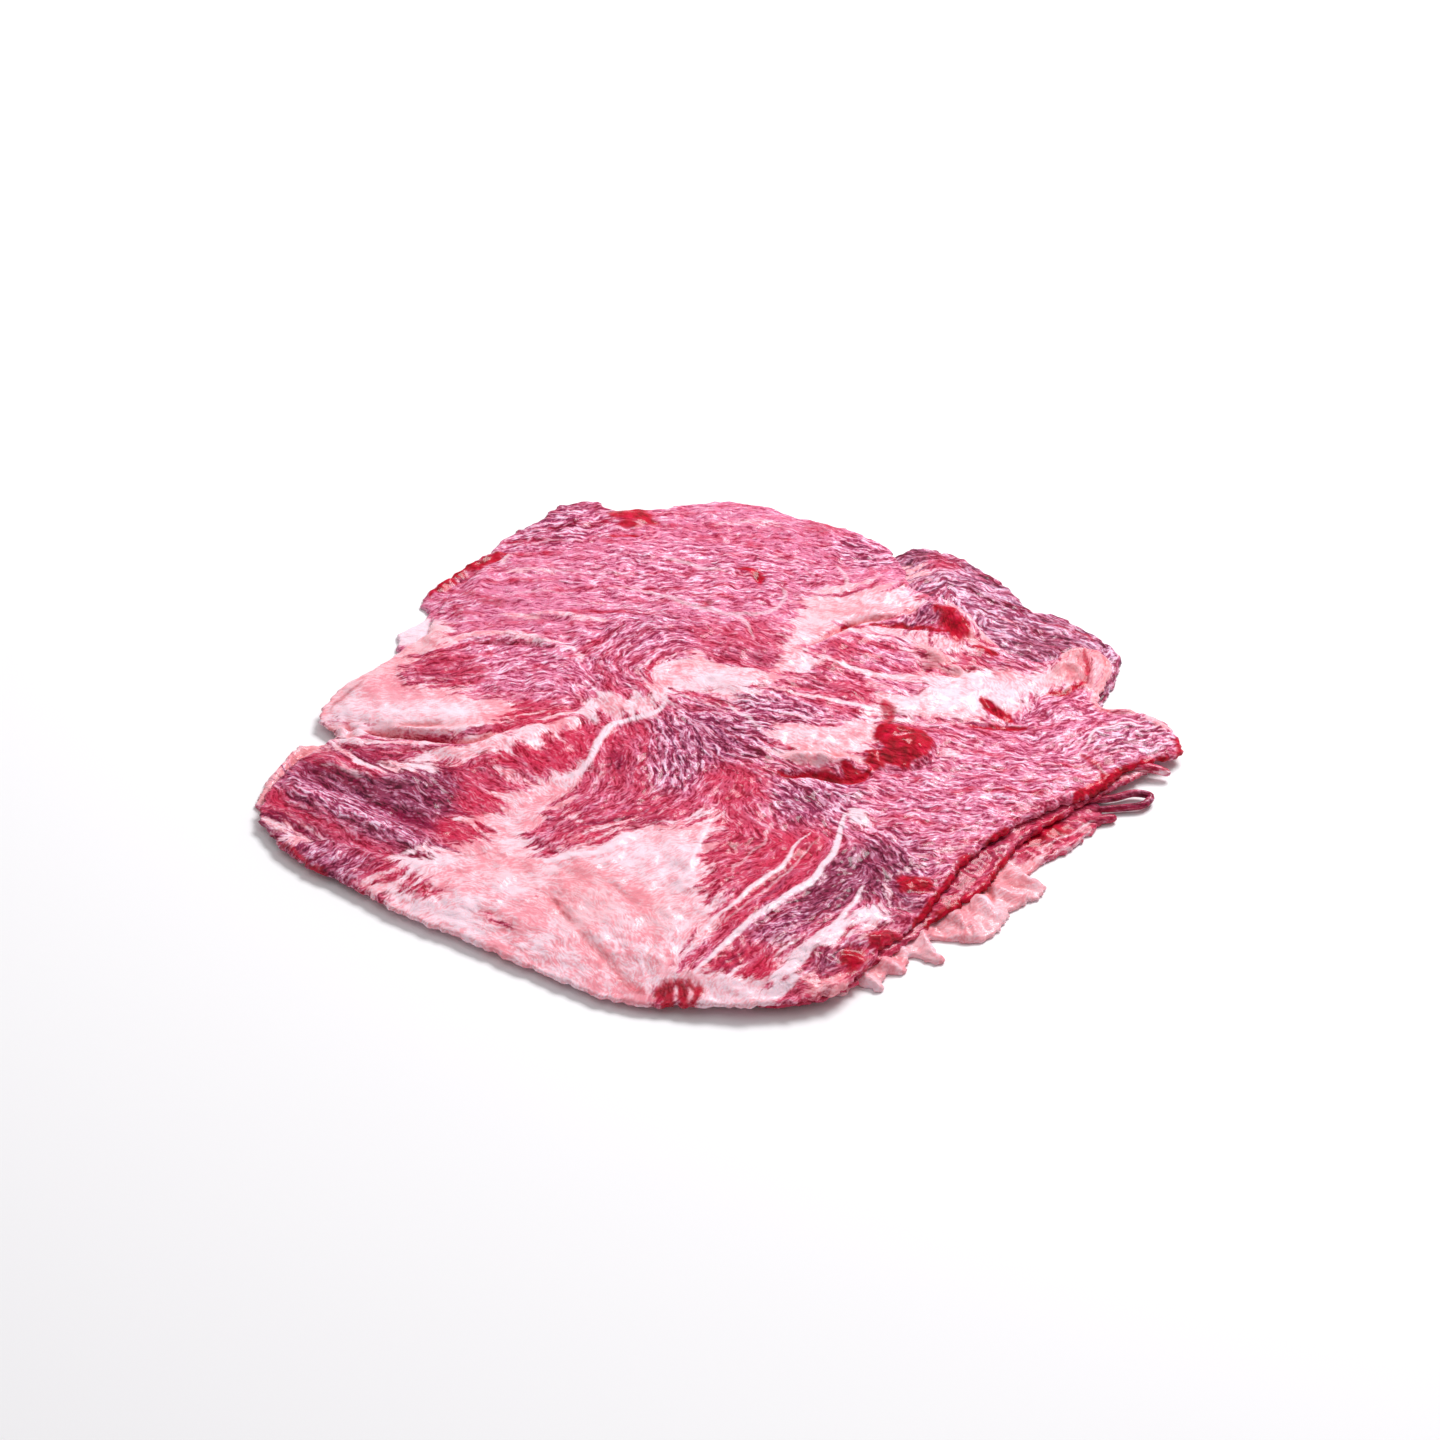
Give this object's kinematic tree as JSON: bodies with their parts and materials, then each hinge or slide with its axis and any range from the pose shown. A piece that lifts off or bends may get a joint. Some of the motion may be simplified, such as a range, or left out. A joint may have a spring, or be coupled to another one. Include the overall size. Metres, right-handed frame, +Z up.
{
  "type": "raw_beef_slices",
  "caption": "Raw marbled beef, sliced thin and laid out in an overlapping fan, with folded edges, fat seams and a ragged outline",
  "frame": {"origin": "middle of the footprint of the whole stack, on the surface that it lies on", "axes": "+X to the viewer's right, +Y away from the viewer, +Z up"},
  "size_m": [0.1988, 0.1799, 0.0098],
  "materials": {
    "dark_lean": "moist dark purple-red lean with pale frilled fat",
    "red_lean": "moist red lean with thin marbling",
    "marbled_lean": "moist pink-red lean with seams and patches of pale pink fat"
  },
  "bodies": {
    "root": {"slice_bottom": "dark_lean", "slice_back": "red_lean", "slice_middle": "red_lean", "slice_top": "marbled_lean"}
  },
  "joints": []
}
